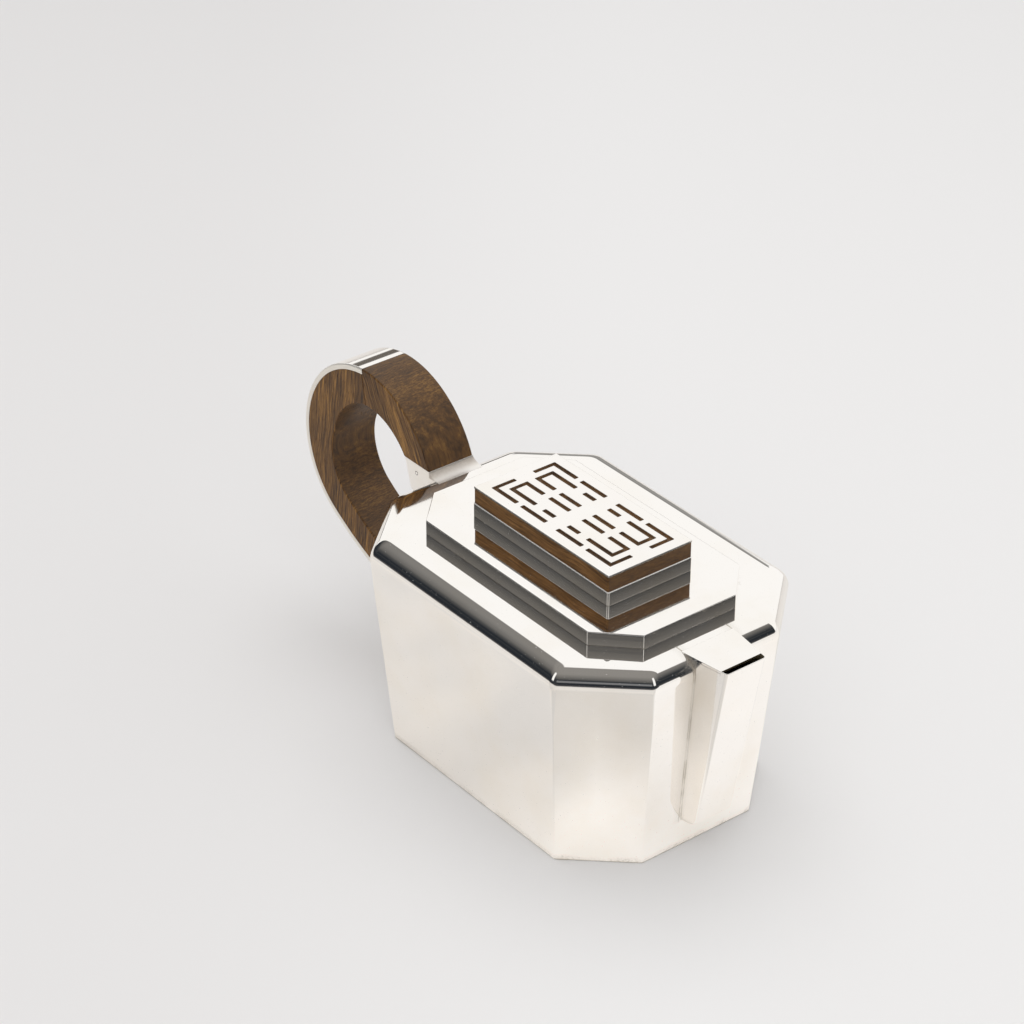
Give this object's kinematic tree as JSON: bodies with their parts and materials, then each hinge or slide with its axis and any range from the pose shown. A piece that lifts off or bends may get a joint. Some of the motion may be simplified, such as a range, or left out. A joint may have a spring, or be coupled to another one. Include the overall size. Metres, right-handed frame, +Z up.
{
  "type": "teapot",
  "caption": "Low octagonal silver teapot with a hinged box lid, a pierced rectangular finial, a box spout and a rosewood loop handle with a silver strap.",
  "frame": {"origin": "centre of the base, on the face that the teapot stands on", "axes": "+X towards the spout, +Y towards the teapot's left as the spout points forward, +Z up"},
  "size_m": [0.2574, 0.114, 0.1192],
  "materials": {
    "silver": "polished silver, finely scratched",
    "rosewood": "satin oiled rosewood",
    "hardwood": "plain hardwood",
    "brass": "plain brass"
  },
  "bodies": {
    "pot": {"body_shell": "silver", "base_plate": "silver", "lid_collar": "silver", "spout_channel": "silver", "spout_cover": "silver", "body_knuckle": "silver", "hinge_pin": "silver", "upper_socket": "silver", "upper_socket_pin": "silver", "lower_socket": "silver", "lower_socket_pin": "silver", "handle_front": "rosewood", "handle_rear": "rosewood", "handle_strap": "silver", "handle_dowels": "hardwood", "strap_pins": "silver"},
    "lid": {"lid_cover": "silver", "lid_flange": "silver", "lid_knuckles": "silver", "finial_base": "silver", "finial_block": "rosewood", "finial_plaque": "silver", "plaque_pins": "silver", "finial_screws": "brass", "finial_washers": "silver"}
  },
  "joints": [
    {"name": "lid_hinge", "type": "hinge", "parent": "pot", "child": "lid", "pos_m": [-0.0627, 0, 0.09175], "axis": [0, -1, 0], "range_deg": [0, 100]}
  ]
}
